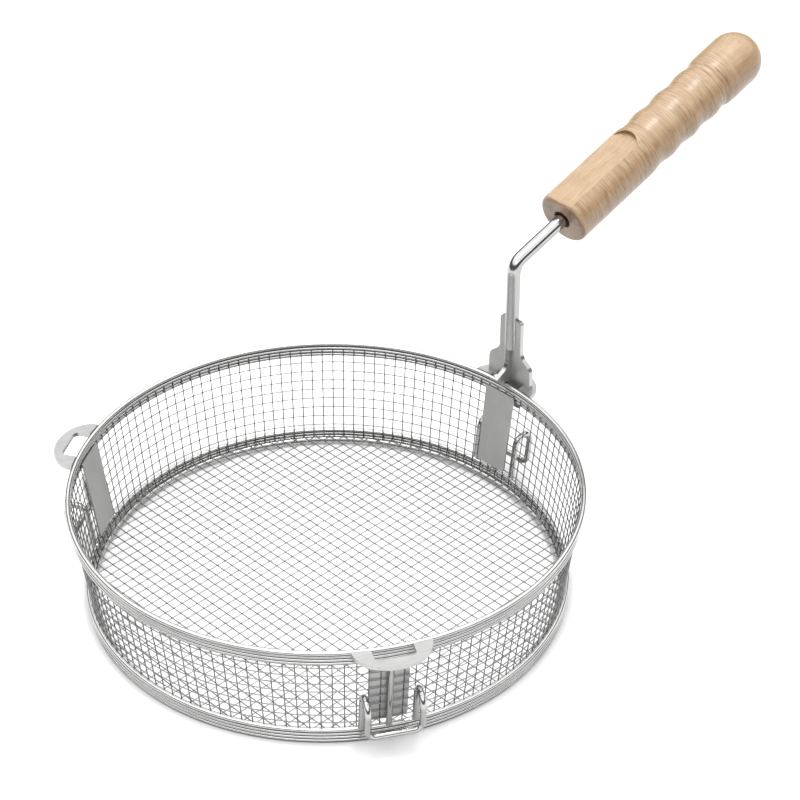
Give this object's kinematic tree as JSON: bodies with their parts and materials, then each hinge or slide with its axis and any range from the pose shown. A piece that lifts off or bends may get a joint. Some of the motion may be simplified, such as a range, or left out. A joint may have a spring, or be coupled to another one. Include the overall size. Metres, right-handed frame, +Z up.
{
  "type": "grill basket",
  "caption": "Round stainless wire-mesh grill basket with ring-wire rims, slotted side tabs, wire hooks and a lift-off rod handle with a finger-grooved wooden grip.",
  "frame": {"origin": "centre of the basket's base, on the surface it stands on", "axes": "+Z up, +X from the basket's centre out along the handle"},
  "size_m": [0.5192, 0.3, 0.2358],
  "materials": {
    "polished_steel": "polished",
    "mesh_steel": "drawn wire",
    "plate_steel": "brushed",
    "beech": "oiled"
  },
  "bodies": {
    "basket": {"rim_ring": "polished_steel", "rim_wire_1": "polished_steel", "rim_wire_2": "polished_steel", "rim_wire_3": "polished_steel", "base_ring": "polished_steel", "base_wire_1": "polished_steel", "base_wire_2": "polished_steel", "base_wire_3": "polished_steel", "side_uprights": "mesh_steel", "side_hoops": "mesh_steel", "floor_ring": "polished_steel", "floor_wires_lower": "mesh_steel", "floor_wires_upper": "mesh_steel", "handle_plate": "plate_steel", "handle_tab": "plate_steel", "handle_post": "polished_steel", "handle_hook": "polished_steel", "left_plate": "plate_steel", "left_tab": "plate_steel", "left_post": "polished_steel", "left_hook": "polished_steel", "front_plate": "plate_steel", "front_tab": "plate_steel", "front_post": "polished_steel", "front_hook": "polished_steel"},
    "handle": {"fitting_plate": "plate_steel", "fitting_web": "plate_steel", "handle_rod": "polished_steel", "grip": "beech"}
  },
  "joints": [
    {"name": "handle_lift", "type": "slide", "parent": "basket", "child": "handle", "axis": [0, 0, 1], "range_m": [0, 0.06]}
  ]
}
